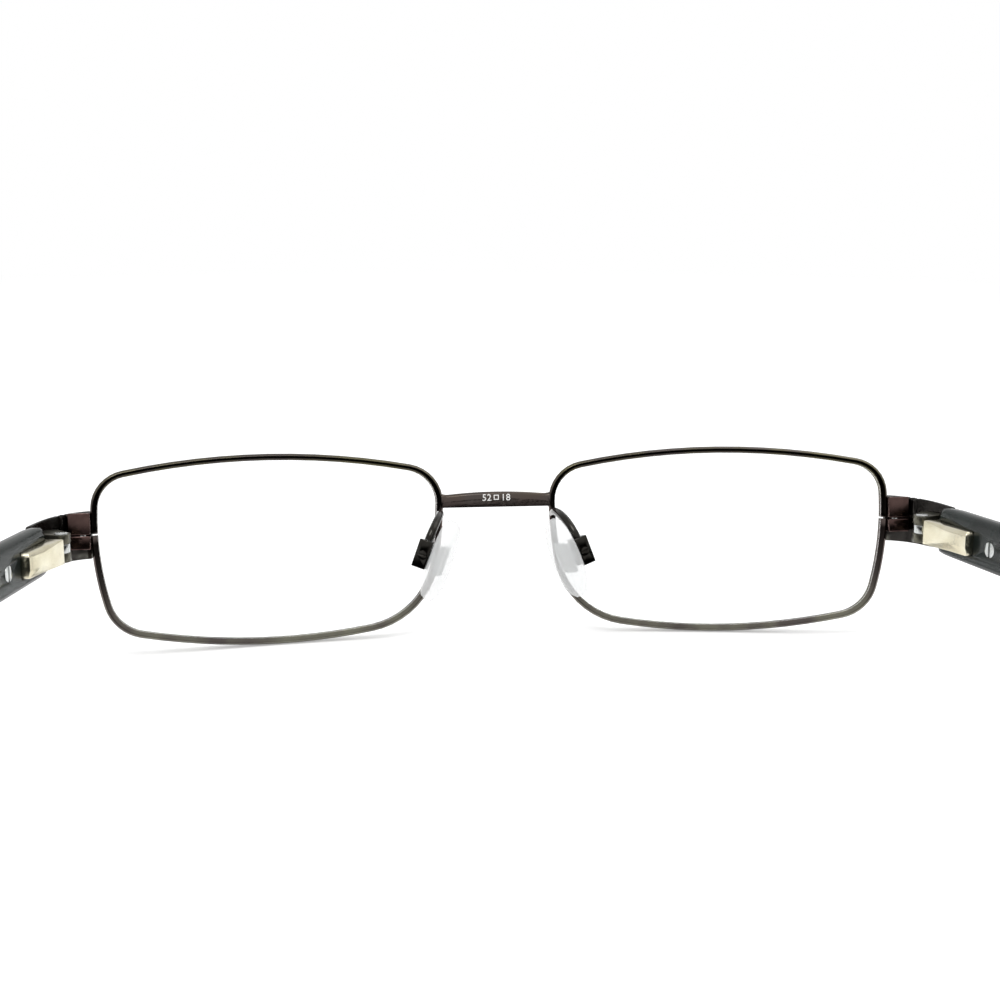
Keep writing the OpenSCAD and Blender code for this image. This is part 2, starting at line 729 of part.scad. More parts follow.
function temple_ring(s, squeeze, cut = 0) = [
    for (j = [0:temple_sides - 1])
    let (
        a = 360 * (j + 0.5) / temple_sides,
        roundness = sin(a) > 0 ? top_roundness : low_roundness,
        x = (temple_half_t(s) - cut / 2) * sign(cos(a)) * pow(abs(cos(a)), roundness),
        z = temple_half_h(s) * sign(sin(a)) * pow(abs(sin(a)), roundness)
    )
    temple_point(s, temple_offset(s) - cut / 2 + x * squeeze, temple_lift(s) + z * squeeze)
];
tip_round = temple_tip_h / 2;

// Stations of the front end, which is rounded and cut back on the outside to lie inside the
// endpiece: distance from the pin, share of the full height, and what is cut off.
nose_cut = 0.95;
nose_stations = [
    [nose_from, 0.84, nose_cut], [nose_from + 0.25, 0.92, 0.8 * nose_cut],
    [nose_from + 0.9, 0.95, 0.53 * nose_cut], [nose_from + 1.8, 0.97, 0.25 * nose_cut],
    [nose_from + 3.2, 0.98, 0]
];
temple_stations = concat(
    [for (s = [14, straight_to, 40, slim_from, 72]) [s, 1]],
    [for (i = [0:8]) [bend_at - 4 + (bend_len + 8) * i / 8, 1]],
    [for (f = [0.55, 0]) [temple_len - tip_round - f * (temple_len - bend_at - bend_len - 4 - tip_round), 1]],
    [for (a = [22.5, 45, 67.5, 84]) [temple_len - tip_round + tip_round * sin(a), cos(a)]]
);
temple_rings = [
    for (st = nose_stations) temple_ring(st[0], st[1], st[2]),
    for (st = temple_stations) temple_ring(st[0], st[1])
];

// Metal core: a flat bar behind the casing that follows the temple down to its tip.
core_from = casing_front + 1.6;
core_tip_cover = 18;
core_to = temple_len - core_tip_cover;
core_bend_from = 18;
core_bend_to = 40;
function core_x(s) =
    s >= core_bend_to ? temple_offset(s) :
    lookup(s, [[core_bend_from, casing_out + fit + core_t / 2], [core_bend_to, temple_offset(core_bend_to)]]);
core_stations = [for (st = temple_stations) if (st[0] < core_to - 2) st[0]];
function core_ring(s, room) = [
    for (p = [[1, -1], [1, 1], [-1, 1], [-1, -1]])
    temple_point(s, core_x(s) + p[0] * (core_t / 2 + room), p[1] * (core_h / 2 + room))
];
module core_bar(room) {
    skin([for (s = concat([core_from - room], core_stations, [core_to + room])) core_ring(s, room)]);
}

// Screw along X that holds the temple on its core, with its head on the inner face.
temple_screw_d = 1.3;
temple_screw_head_h = 0.55;
temple_screw_sunk = 0.5;
temple_screw_len = temple_t - 1.3;
module screw_hole() {
    head_depth = overrun + temple_screw_sunk;
    translate([temple_in, -temple_screw_at, 0]) rotate([0, 90, 0]) translate([0, 0, -overrun]) {
        cylinder(h = head_depth + temple_screw_len + fit, d = temple_screw_d + 2 * fit, $fn = round_fn);
        cylinder(h = head_depth, d = temple_screw_head_d + 2 * fit, $fn = round_fn);
    }
}
module temple_screw(side) {
    color(silver) on_side(side) at_temple()
        translate([temple_in + temple_screw_sunk - fit, -temple_screw_at, 0])
            rotate([0, -90, 0])
                slotted_screw(temple_screw_head_d, temple_screw_head_h, temple_screw_d, temple_screw_len);
}
module temple_core(side) {
    color(silver) on_side(side) at_temple() difference() {
        core_bar(0);
        screw_hole();
    }
}
// Shallow scoop along an edge of the inner face, cut by a wide cylinder.
scoop_from = 14;
scoop_len = 16;
scoop_depth = 0.45;
scoop_r = (scoop_len * scoop_len / 4 + scoop_depth * scoop_depth) / (2 * scoop_depth);
module scoop(up) {
    away = (scoop_r - scoop_depth) / sqrt(2);
    translate([temple_in - away, -scoop_from - scoop_len / 2, temple_rise + up * (temple_h / 2 + away)])
        rotate([0, up * 45, 0])
            cylinder(h = 2 * temple_h, r = scoop_r, center = true, $fn = 4 * round_fn);
}
module temple(side) {
    recess = 0.06;
    color(slate) on_side(side) at_temple() difference() {
        skin(temple_rings);
        core_bar(fit);
        translate([casing_in, -casing_back - recess, -casing_h / 2 - recess])
            cube([casing_t + 2 * fit, casing_back, casing_h + 2 * recess]);
        screw_hole();
        for (up = [-1, 1]) scoop(up);
    }
}

// Nose pad parts, in the pad's own frame: X away from the nose, Z along the pad.
pad_room = 0.35;
box_d = 2.1;
box_in = pad_t / 2 + pad_room;
box_out = box_in + box_d;
box_half_y = 1.45;
box_wall = 0.4;
box_low = -2;
box_high = 2.2;
pad_screw_at = [box_in + 0.95, 0];
pad_screw_d = 0.9;
pad_screw_head_d = 1.3;
pad_screw_head_h = 0.3;
pad_screw_past = 0.15;
pad_screw_len = 2 * box_half_y + pad_screw_past;
lug_play = 0.12;
lug_half_y = box_half_y - box_wall - lug_play;
lug_half_z = 0.72;

module pad_hole(room, depth) {
    translate([pad_screw_at[0], depth / 2, pad_screw_at[1]])
        rotate([90, 0, 0])
            cylinder(h = depth, d = pad_screw_d + 2 * room, $fn = round_fn);
}
module pad_box(side) {
    color(gunmetal) on_side(side) at_pad() difference() {
        translate([box_in, -box_half_y, box_low])
            cube([box_out - box_in, 2 * box_half_y, box_high - box_low]);
        translate([box_in - overrun, box_wall - box_half_y, box_low - overrun])
            cube([
                box_out - box_in - box_wall + overrun, 2 * (box_half_y - box_wall),
                box_high - box_low - box_wall + overrun
            ]);
        pad_hole(fit, 4 * box_half_y);
    }
}
module pad_screw(side) {
    color(gunmetal) on_side(side) at_pad()
        translate([pad_screw_at[0], -box_half_y - fit, pad_screw_at[1]])
            rotate([90, 0, 0])
                slotted_screw(pad_screw_head_d, pad_screw_head_h, pad_screw_d, pad_screw_len);
}
core_plate_t = 0.6;
core_plate_y = 2.4;
core_plate_z = 2.2;
module pad_core_solid(room) {
    translate([-core_plate_t / 2 - room, -core_plate_y - room, -core_plate_z - room + pad_screw_at[1]])
        cube([core_plate_t + 2 * room, 2 * (core_plate_y + room), 2 * (core_plate_z + room)]);
    translate([0, -lug_half_y - room, pad_screw_at[1] - lug_half_z - room])
        cube([pad_screw_at[0], 2 * (lug_half_y + room), 2 * (lug_half_z + room)]);
}
module pad_core(side) {
    color(glass) on_side(side) at_pad() difference() {
        union() {
            pad_core_solid(0);
            translate([pad_screw_at[0], lug_half_y, pad_screw_at[1]])
                rotate([90, 0, 0])
                    cylinder(h = 2 * lug_half_y, r = lug_half_z, $fn = round_fn);
        }
        pad_hole(2 * running_fit, 4 * box_half_y);
    }
}
pad_sides = 20;
pad_taper = 0.12;
pad_layers = [[-1, 0.55], [-0.82, 0.8], [-0.35, 0.97], [0.3, 1], [0.8, 0.9], [1, 0.74]];
module nose_pad(side) {
    color(silicone, 0.5) on_side(side) at_pad() difference() {
        skin([
            for (layer = pad_layers)
            [
                for (j = [0:pad_sides - 1])
                let (
                    a = 360 * j / pad_sides,
                    k = layer[1],
                    taper = 1 - pad_taper * sin(a),
                    long = pad_len - pad_w * (1 - k)
                )
                [layer[0] * pad_t / 2, cos(a) * pad_w / 2 * k * taper, sin(a) * long / 2]
            ]
        ]);
        pad_core_solid(fit);
    }
}

// Pad arm: a wire from the back of the eyewire, curved back and down to the pad box.
function pad_to_front(p) =
    let (
        q = turn_z(p, pad_splay),
        a = -pad_frontal
    )
    [pad_x, -pad_back, pad_z] + [q[0] * cos(a) + q[2] * sin(a), q[1], q[2] * cos(a) - q[0] * sin(a)];
arm_root_z = 4.6;
arm_root = [
    nasal_edge_x(arm_root_z) + (rim_wall + groove_depth) / 2,
    on_lens([-half_w - rim_wall, arm_root_z], -rim_depth / 2)[1] - 2 * fit,
    arm_root_z
];
arm_end = pad_to_front([(box_in + box_out) / 2, 0, box_high + fit]);
arm_steps = 14;
arm_sides = 8;
arm_root_pull = [-0.3, -6, 1.4];
arm_end_rise = 1.8;
arm_end_pull = arm_end_rise * (pad_to_front([0, 0, 1]) - pad_to_front([0, 0, 0]));
function arm_point(t) = bezier(arm_root, arm_root + arm_root_pull, arm_end + arm_end_pull, arm_end, t);

module pad_arm(side) {
    r = pad_wire_d / 2;
    color(gunmetal) on_side(side) skin([
        for (i = [0:arm_steps])
        let (
            t = i / arm_steps,
            along = i == 0 ? [0, -1, 0] : arm_point(min(1, t + 0.01)) - arm_point(t - 0.01),
            dir = along / norm(along),
            across = cross(dir, [1, 0, 0]) / norm(cross(dir, [1, 0, 0])),
            up = cross(dir, across)
        )
        [
            for (j = [0:arm_sides - 1])
            let (a = 360 * j / arm_sides)
            arm_point(t) + r * (cos(a) * across + sin(a) * up)
        ]
    ]);
}

// The pitch at which rims and temple tips touch the same ground, and the origin: on the
// ground, in the middle from front to back.
rim_points = [for (line = rim_lines) each line];
temple_points = [for (ring = temple_rings) for (p = ring) hinge_to_front(p)];
function lowest(points, lean) = min([for (p = points) p[2] * cos(lean) - p[1] * sin(lean)]);
function foremost(points, lean) = max([for (p = points) p[1] * cos(lean) + p[2] * sin(lean)]);
function rearmost(points, lean) = min([for (p = points) p[1] * cos(lean) + p[2] * sin(lean)]);
function level_pitch(low, high, steps) =
    let (mid = (low + high) / 2)
    steps == 0 ? mid :
    lowest(rim_points, panto + mid) > lowest(temple_points, panto + mid) ? level_pitch(mid, high, steps - 1) :
    level_pitch(low, mid, steps - 1);
most_pitch = 15;
pitch_steps = 14;
pitch = level_pitch(0, most_pitch, pitch_steps);
lean = panto + pitch;
world_z = lowest(rim_points, lean);
world_y = (foremost(rim_points, lean) + rearmost(temple_points, lean)) / 2;

bridge();
lens(left);  // lens_left
eyewire(left);  // eyewire_left
upper_closing_block(left);  // upper_closing_block_left
lower_closing_block(left);  // lower_closing_block_left
rim_lock_screw(left);  // rim_lock_screw_left
endpiece(left);  // endpiece_left
front_hinge(left);  // front_hinge_left
hinge_screw(left);  // hinge_screw_left
spring_casing(left);  // spring_casing_left
slider(left);  // slider_left
spring(left);  // spring_left
temple(left);  // temple_left
temple_core(left);  // temple_core_left
temple_screw(left);  // temple_screw_left
pad_arm(left);  // pad_arm_left
pad_box(left);  // pad_box_left
pad_screw(left);  // pad_screw_left
pad_core(left);  // pad_core_left
nose_pad(left);  // nose_pad_left
lens(right);  // lens_right
eyewire(right);  // eyewire_right
upper_closing_block(right);  // upper_closing_block_right
lower_closing_block(right);  // lower_closing_block_right
rim_lock_screw(right);  // rim_lock_screw_right
endpiece(right);  // endpiece_right
front_hinge(right);  // front_hinge_right
hinge_screw(right);  // hinge_screw_right
spring_casing(right);  // spring_casing_right
slider(right);  // slider_right
spring(right);  // spring_right
temple(right);  // temple_right
temple_core(right);  // temple_core_right
temple_screw(right);  // temple_screw_right
pad_arm(right);  // pad_arm_right
pad_box(right);  // pad_box_right
pad_screw(right);  // pad_screw_right
pad_core(right);  // pad_core_right
nose_pad(right);  // nose_pad_right
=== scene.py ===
"""Rectangular eyeglasses with a metal front, spring hinges and moulded temples.

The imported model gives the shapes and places. This script dresses them: it refines the
metal front, the hinges, the nose pads and the temples, gives each its finish, and puts
the glasses in a plain pale studio, seen from the wearer's side.
"""

import json
import logging
import math
from dataclasses import dataclass, field
from enum import Enum
from typing import ClassVar

import bpy
from mathutils import Matrix, Vector


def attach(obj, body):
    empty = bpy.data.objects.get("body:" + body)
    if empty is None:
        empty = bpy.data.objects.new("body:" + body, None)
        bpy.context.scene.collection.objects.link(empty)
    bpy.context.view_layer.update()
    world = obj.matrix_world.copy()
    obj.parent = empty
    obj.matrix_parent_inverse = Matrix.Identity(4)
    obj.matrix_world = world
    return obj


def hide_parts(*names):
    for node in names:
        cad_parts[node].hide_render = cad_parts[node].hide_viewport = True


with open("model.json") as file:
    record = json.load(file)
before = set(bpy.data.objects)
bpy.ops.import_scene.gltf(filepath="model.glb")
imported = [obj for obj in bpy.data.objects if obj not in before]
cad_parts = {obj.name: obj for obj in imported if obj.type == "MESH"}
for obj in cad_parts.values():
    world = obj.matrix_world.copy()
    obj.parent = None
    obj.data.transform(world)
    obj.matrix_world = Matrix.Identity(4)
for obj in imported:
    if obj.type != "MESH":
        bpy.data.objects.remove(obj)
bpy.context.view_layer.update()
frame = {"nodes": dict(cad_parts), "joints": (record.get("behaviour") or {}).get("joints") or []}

MM = 0.001
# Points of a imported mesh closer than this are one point, and faces flatter than this are one face.
MERGE_MM = 0.002
FLAT_DEG = 0.6
WHITE = (1.0, 1.0, 1.0, 1.0)
BLACK = (0.0, 0.0, 0.0, 1.0)
LOG = logging.getLogger("eyeglasses")


class Side(Enum):
    """The wearer's two sides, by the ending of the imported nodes' names."""

    LEFT = "left"
    RIGHT = "right"

    @property
    def outward(self) -> int:
        """The sign of X on this side."""
        return 1 if self is Side.RIGHT else -1


def linear(hex_colour: str) -> tuple[float, float, float, float]:
    """Turns an sRGB hex colour into linear light.

    Args:
        hex_colour: Six hex digits, with or without a leading hash.

    Returns:
        Red, green, blue and a full alpha.
    """
    digits = hex_colour.lstrip("#")
    shares = [int(digits[i:i + 2], 16) / 255 for i in (0, 2, 4)]
    red, green, blue = [c / 12.92 if c <= 0.04045 else ((c + 0.055) / 1.055) ** 2.4 for c in shares]
    return red, green, blue, 1.0


def add_node(
    tree: bpy.types.NodeTree,
    kind: str,
    settings: dict[str | int, object] | None = None,
    links: dict[str | int, bpy.types.NodeSocket] | None = None,
) -> bpy.types.Node:
    """Adds one shader node.

    Args:
        tree: The node tree to add to.
        kind: The node's type name.
        settings: Values by name, for the node's own settings and its input sockets.
        links: Output sockets by the name or number of the input that they feed.

    Returns:
        The new node.
    """
    node = tree.nodes.new(kind)
    for name, value in (settings or {}).items():
        if isinstance(name, int) or name in node.inputs:
            node.inputs[name].default_value = value
        else:
            setattr(node, name, value)
    for name, socket in (links or {}).items():
        tree.links.new(socket, node.inputs[name])
    return node


def set_stops(ramp: bpy.types.Node, shades: list[tuple[float, tuple[float, ...]]]) -> None:
    """Gives a colour ramp its stops.

    Args:
        ramp: The colour ramp's node.
        shades: Pairs of a position from 0 to 1 and a linear colour, in rising order.
    """
    stops = ramp.color_ramp.elements
    while len(stops) < len(shades):
        stops.new(0.5)
    for stop, (position, colour) in zip(stops, shades):
        stop.position = position
        stop.color = colour


@dataclass(frozen=True)
class Finish:
    """A finish: a principled surface with a fine bump and a gentle change of roughness.

    Clouds in the colour and grains in the surface have sizes in millimetres. Real tool and
    tumbling marks are some hundredths of a millimetre wide and are drawn about a tenth wide,
    so that they show. A height tint is a pair of a height above the ground in millimetres and
    the colour painted there: in part the plating's own colour, and in part a painted reflection
    of the white floor low down or a painted highlight from above.
    """

    name: str
    colour: str
    slot: str
    metallic: float = 0.0
    roughness: float = 0.3
    ior: float = 1.5
    coat: float = 0.0
    coat_roughness: float = 0.05
    transmission: float = 0.0
    alpha: float = 1.0
    second_colour: str = ""
    height_colours_and_painted_sheen: tuple[tuple[float, str], ...] = ()
    mottle_mm: float = 6.0
    mottle_octaves: float = 3.0
    mottle_edge: tuple[float, float] = (0.38, 0.62)
    grain_mm: float = 0.25
    grain_octaves: float = 2.0
    grain_stretch: tuple[float, float, float] = (1.0, 1.0, 1.0)
    grain_depth_mm: float = 0.01
    bump: float = 0.0
    roughness_spread: float = 0.05

    def material(self) -> bpy.types.Material:
        """Returns the material, made once and then shared."""
        found = bpy.data.materials.get(self.name)
        return found or self._build()

    def _build(self) -> bpy.types.Material:
        """Builds the material's nodes.

        Returns:
            The new material.
        """
        material = bpy.data.materials.new(self.name)
        material.use_nodes = True
        tree = material.node_tree
        tree.nodes.clear()
        place = add_node(tree, "ShaderNodeTexCoord")
        grain_space = add_node(
            tree, "ShaderNodeMapping", {"Scale": self.grain_stretch},
            {"Vector": place.outputs["Object"]},
        )
        settings = {
            "Base Color": linear(self.colour),
            "Metallic": self.metallic,
            "Roughness": self.roughness,
            "Coat Weight": self.coat,
            "Coat Roughness": self.coat_roughness,
            "Transmission Weight": self.transmission,
            "Alpha": self.alpha,
        }
        if self.metallic < 1.0:
            settings["IOR"] = self.ior
        surface = add_node(tree, "ShaderNodeBsdfPrincipled", settings)
        if self.second_colour:
            tree.links.new(self._clouds(tree, place), surface.inputs["Base Color"])
        grain = add_node(
            tree, "ShaderNodeTexNoise",
            {"Scale": 1 / (self.grain_mm * MM), "Detail": self.grain_octaves},
            {"Vector": grain_space.outputs["Vector"]},
        )
        if self.roughness_spread:
            least = max(0.0, self.roughness - self.roughness_spread)
            most = self.roughness + self.roughness_spread
            spread = add_node(
                tree, "ShaderNodeMapRange", {"To Min": least, "To Max": most},
                {"Value": grain.outputs["Fac"]},
            )
            tree.links.new(spread.outputs["Result"], surface.inputs["Roughness"])
        if self.bump:
            relief = add_node(
                tree, "ShaderNodeBump",
                {"Strength": self.bump, "Distance": self.grain_depth_mm * MM},
                {"Height": grain.outputs["Fac"]},
            )
            tree.links.new(relief.outputs["Normal"], surface.inputs["Normal"])
        add_node(tree, "ShaderNodeOutputMaterial", None, {"Surface": surface.outputs["BSDF"]})
        return material

    def _clouds(self, tree: bpy.types.NodeTree, place: bpy.types.Node) -> bpy.types.NodeSocket:
        """Adds the soft clouds between the finish's two colours.

        Args:
            tree: The material's nodes.
            place: Its texture coordinates.

        Returns:
            The colour's output socket.
        """
        mottle = add_node(
            tree, "ShaderNodeTexNoise",
            {"Scale": 1 / (self.mottle_mm * MM), "Detail": self.mottle_octaves},
            {"Vector": place.outputs["Object"]},
        )
        blend = add_node(
            tree, "ShaderNodeMapRange",
            {"From Min": self.mottle_edge[0], "From Max": self.mottle_edge[1]},
            {"Value": mottle.outputs["Fac"]},
        )
        tint = add_node(
            tree, "ShaderNodeMix",
            {"data_type": "RGBA", 6: linear(self.colour), 7: linear(self.second_colour)},
            {0: blend.outputs["Result"]},
        )
        # The height ramp, with its painted reflection and highlight, takes the place of the first
        # colour.
        if self.height_colours_and_painted_sheen:
            tree.links.new(self._height_colour_and_painted_sheen(tree, place), tint.inputs[6])
        return tint.outputs[2]

    def _height_colour_and_painted_sheen(self, tree: bpy.types.NodeTree, place: bpy.types.Node) -> bpy.types.NodeSocket:
        """Adds the colour's slow change with height: partly the plating's own colour, partly a
        painted floor reflection low down and a painted highlight high up.

        Args:
            tree: The material's nodes.
            place: Its texture coordinates.

        Returns:
            The colour's output socket.
        """
        top_mm = self.height_colours_and_painted_sheen[-1][0]
        split = add_node(tree, "ShaderNodeSeparateXYZ", None, {"Vector": place.outputs["Object"]})
        share = add_node(
            tree, "ShaderNodeMapRange", {"From Max": top_mm * MM}, {"Value": split.outputs["Z"]}
        )
        ramp = add_node(tree, "ShaderNodeValToRGB", None, {"Fac": share.outputs["Result"]})
        set_stops(ramp, [(height / top_mm, linear(shade)) for height, shade in self.height_colours_and_painted_sheen])
        return ramp.outputs["Color"]


# Ion-plated gunmetal on nickel silver wire: a dark mirror. Its colour turns with height from a
# paler grey at the lower rims, a painted reflection of the white floor, through the plating's own
# plum at the sides to a faint olive at the top, a painted highlight from above.
GUNMETAL = Finish(
    "ion_plated_gunmetal", "#67635c", "gunmetal",
    metallic=1.0, roughness=0.1, second_colour="#5a5451",
    height_colours_and_painted_sheen=(
        (0.0, "#7a796c"), (5.0, "#767468"), (11.0, "#635855"), (21.0, "#5a4f4b"), (25.0, "#6c6853"),
    ),
    mottle_mm=7.0, grain_mm=0.12, bump=0.03, roughness_spread=0.02,
)
# The same plating over cast and stamped small parts: nearly black, with soft grey clouds where
# the tumbling thinned it. On the band a paler lower edge is painted in as the reflection of the
# white floor below it.
BLACK_PLATING = Finish(
    "ion_plated_black_gunmetal", "#302e2b", "gunmetal",
    metallic=1.0, roughness=0.14, second_colour="#3b3a37",
    mottle_mm=1.6, grain_mm=0.12, bump=0.04, roughness_spread=0.03,
)
# The band is paler below 15.3 mm above the ground: a painted reflection of the white floor along its
# lower edge.
BAND_WITH_PAINTED_FLOOR_REFLECTION = Finish(
    "ion_plated_gunmetal_band_painted_floor_reflection", "#2b2926", "gunmetal",
    metallic=1.0, roughness=0.16, second_colour="#343230",
    height_colours_and_painted_sheen=((0.0, "#77766e"), (15.3, "#706f68"), (15.8, "#252321"), (24.0, "#252321")),
    mottle_mm=3.5, grain_mm=0.12, bump=0.04, roughness_spread=0.03,
)
# Brown plating over machined blocks: satin, because the milled face shows through.
BROWN_PLATING = Finish(
    "brown_plating_on_milled_brass", "#5f4c48", "brown_metal",
    metallic=1.0, roughness=0.2, second_colour="#503f3c",
    mottle_mm=2.0, grain_mm=0.09, grain_stretch=(1.0, 1.0, 5.0), bump=0.12,
)
# Turned hinge knuckles: grey with a fine tool grain round the pin.
HINGE_GREY = Finish(
    "turned_nickel_silver", "#6f6d61", "hinge_grey",
    metallic=1.0, roughness=0.34, second_colour="#605e54",
    mottle_mm=1.5, grain_mm=0.1, grain_stretch=(1.0, 1.0, 5.0), bump=0.15,
)
# Stamped and tumbled champagne casing: bright and faintly warm, with soft reflections.
CHAMPAGNE = Finish(
    "champagne_plated_steel", "#e2dcc6", "champagne_metal",
    metallic=1.0, roughness=0.2, second_colour="#d8d0b6",
    mottle_mm=3.0, grain_mm=0.15, bump=0.08,
)
# Turned and ground stainless screws, sliders and springs: a neutral bright gleam, a little
# blurred by the tool's marks.
BRIGHT_STEEL = Finish(
    "bright_stainless_steel", "#d3d5d4", "bright_steel",
    metallic=1.0, roughness=0.2, second_colour="#c6c8c6",
    mottle_mm=2.0, grain_mm=0.1, bump=0.06,
)
# Polished cellulose acetate in dark slate: a tumbled gloss with a soft cloud in the colour. Its
# index is a little below the real one, for the dim gleam along the temple's inner face.
SLATE_ACETATE = Finish(
    "polished_slate_acetate", "#191e1c", "slate_acetate",
    roughness=0.22, ior=1.38, second_colour="#222826",
    mottle_mm=9.0, grain_mm=0.5, bump=0.05,
)
# Clear acrylic lens without power: its faces run parallel, so the view passes unbent and the
# index stays at that of air, while a thin clear coat carries the shine.
CLEAR_LENS = Finish(
    "clear_acrylic_lens", "#fdfefe", "lens",
    roughness=0.0, ior=1.0, coat=0.3, coat_roughness=0.02, transmission=1.0,
    grain_mm=3.0, roughness_spread=0.0,
)
# Moulded clear silicone pad: a soft skin over a milky body, half seen through.
SILICONE = Finish(
    "moulded_clear_silicone", "#fcfdfd", "silicone",
    roughness=0.25, ior=1.41, alpha=0.4,
    grain_mm=0.4, bump=0.03, roughness_spread=0.04,
)
# Moulded polycarbonate plate and lug inside each pad: a grey glassy core with a clean gleam.
PAD_PLATE = Finish(
    "clear_polycarbonate", "#7c8482", "pad_plastic",
    roughness=0.12, ior=1.58, transmission=0.25,
    grain_mm=0.5, roughness_spread=0.0,
)
# White pad-printing ink for the size mark: thin, matt and opaque.
MARK_INK = Finish(
    "white_printing_ink", "#f6f6f4", "",
    roughness=0.45, second_colour="#efefec",
    mottle_mm=0.6, grain_mm=0.1, bump=0.05,
)


def deselect_all() -> None:
    """Leaves edit mode and selects nothing."""
    if bpy.context.object and bpy.context.object.mode != "OBJECT":
        bpy.ops.object.mode_set(mode="OBJECT")
    bpy.ops.object.select_all(action="DESELECT")


def make_active(piece: bpy.types.Object) -> None:
    """Selects one piece alone and makes it active."""
    deselect_all()
    piece.select_set(True)
    bpy.context.view_layer.objects.active = piece


def merged_copy(node: str, name: str, plain_faces: bool = True) -> bpy.types.Object:
    """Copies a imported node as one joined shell, ready to be refined.

    Args:
        node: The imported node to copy.
        name: The new piece's name.
        plain_faces: Whether triangles that lie in one plane are joined.

    Returns:
        The new object, which stands at the origin as the node does.
    """
    piece = bpy.data.objects.new(name, frame["nodes"][node].data.copy())
    piece.data.name = name
    piece.data.materials.clear()
    bpy.context.scene.collection.objects.link(piece)
    make_active(piece)
    bpy.ops.object.mode_set(mode="EDIT")
    bpy.ops.mesh.select_all(action="SELECT")
    bpy.ops.mesh.remove_doubles(threshold=MERGE_MM * MM)
    if plain_faces:
        bpy.ops.mesh.dissolve_limited(angle_limit=math.radians(FLAT_DEG))
    bpy.ops.object.mode_set(mode="OBJECT")
    return piece


def soften_edges(piece: bpy.types.Object, width_mm: float, angle_deg: float) -> None:
    """Rounds a piece's sharp edges with an applied bevel of two steps.

    Args:
        piece: The piece to round.
        width_mm: The bevel's width.
        angle_deg: Edges sharper than this are rounded.
    """
    make_active(piece)
    bevel = piece.modifiers.new("edge_round", "BEVEL")
    bevel.width = width_mm * MM
    bevel.segments = 2
    bevel.limit_method = "ANGLE"
    bevel.angle_limit = math.radians(angle_deg)
    bevel.use_clamp_overlap = False
    bpy.ops.object.modifier_apply(modifier=bevel.name)


def shade(piece: bpy.types.Object, angle_deg: float) -> None:
    """Smooths the shading across edges flatter than an angle."""
    make_active(piece)
    bpy.ops.object.shade_smooth_by_angle(angle=math.radians(angle_deg))


def dress(piece: bpy.types.Object, finish: Finish, body: str, *nodes: str) -> bpy.types.Object:
    """Gives a piece its finish and body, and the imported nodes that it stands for.

    Args:
        piece: The finished piece.
        finish: Its finish.
        body: The body that it moves with.
        nodes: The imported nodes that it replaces.

    Returns:
        The piece.
    """
    piece.data.materials.clear()
    piece.data.materials.append(finish.material())
    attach(piece, body)
    if nodes:
        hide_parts(*nodes)
    return piece


@dataclass(frozen=True)
class FrontPlane:
    """The lens plane's own axes: X to the wearer's right, Y forward, Z up the lenses."""

    lean_deg: float
    offset: Vector = field(default_factory=Vector)
    PIN_MM: ClassVar[tuple[float, float, float]] = (63.5, -13.5, 1.8)
    TILT_TO_TEMPLES_DEG: ClassVar[float] = 8.5

    @classmethod
    def from_joints(cls) -> "FrontPlane":
        """Finds the plane from the right hinge pin, whose place in both frames is known.

        Returns:
            The lens plane's place.
        """
        joint = next(j for j in frame["joints"] if j["name"] == "fold_right")
        axis = Vector(joint["axis"]).normalized()
        pin_lean_deg = math.degrees(math.atan2(abs(axis.y), abs(axis.z)))
        leaning = cls(cls.TILT_TO_TEMPLES_DEG + pin_lean_deg)
        return cls(leaning.lean_deg, Vector(joint["pos_m"]) - leaning.place(*cls.PIN_MM))

    @property
    def turn(self) -> Matrix:
        """The rotation from the lens plane's axes to the world's."""
        return Matrix.Rotation(math.radians(-self.lean_deg), 3, "X")

    def place(self, x_mm: float, y_mm: float, z_mm: float) -> Vector:
        """Returns the world place of a point given in the lens plane's axes."""
        return self.turn @ (Vector((x_mm, y_mm, z_mm)) * MM) + self.offset


@dataclass(frozen=True)
class Refined:
    """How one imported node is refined: its new name, finish, rounding and smoothing.

    Edges sharper than round_from_deg are rounded, and those flatter than smooth_deg are shaded
    as one smooth surface.
    """

    node: str
    name: str
    finish: Finish
    body: str
    round_mm: float = 0.0
    round_from_deg: float = 50.0
    smooth_deg: float = 32.0

    def build(self) -> bpy.types.Object:
        """Copies, rounds, smooths and dresses the node.

        Returns:
            The piece.
        """
        piece = merged_copy(self.node, self.name)
        if self.round_mm:
            soften_edges(piece, self.round_mm, self.round_from_deg)
        shade(piece, self.smooth_deg)
        return dress(piece, self.finish, self.body, self.node)


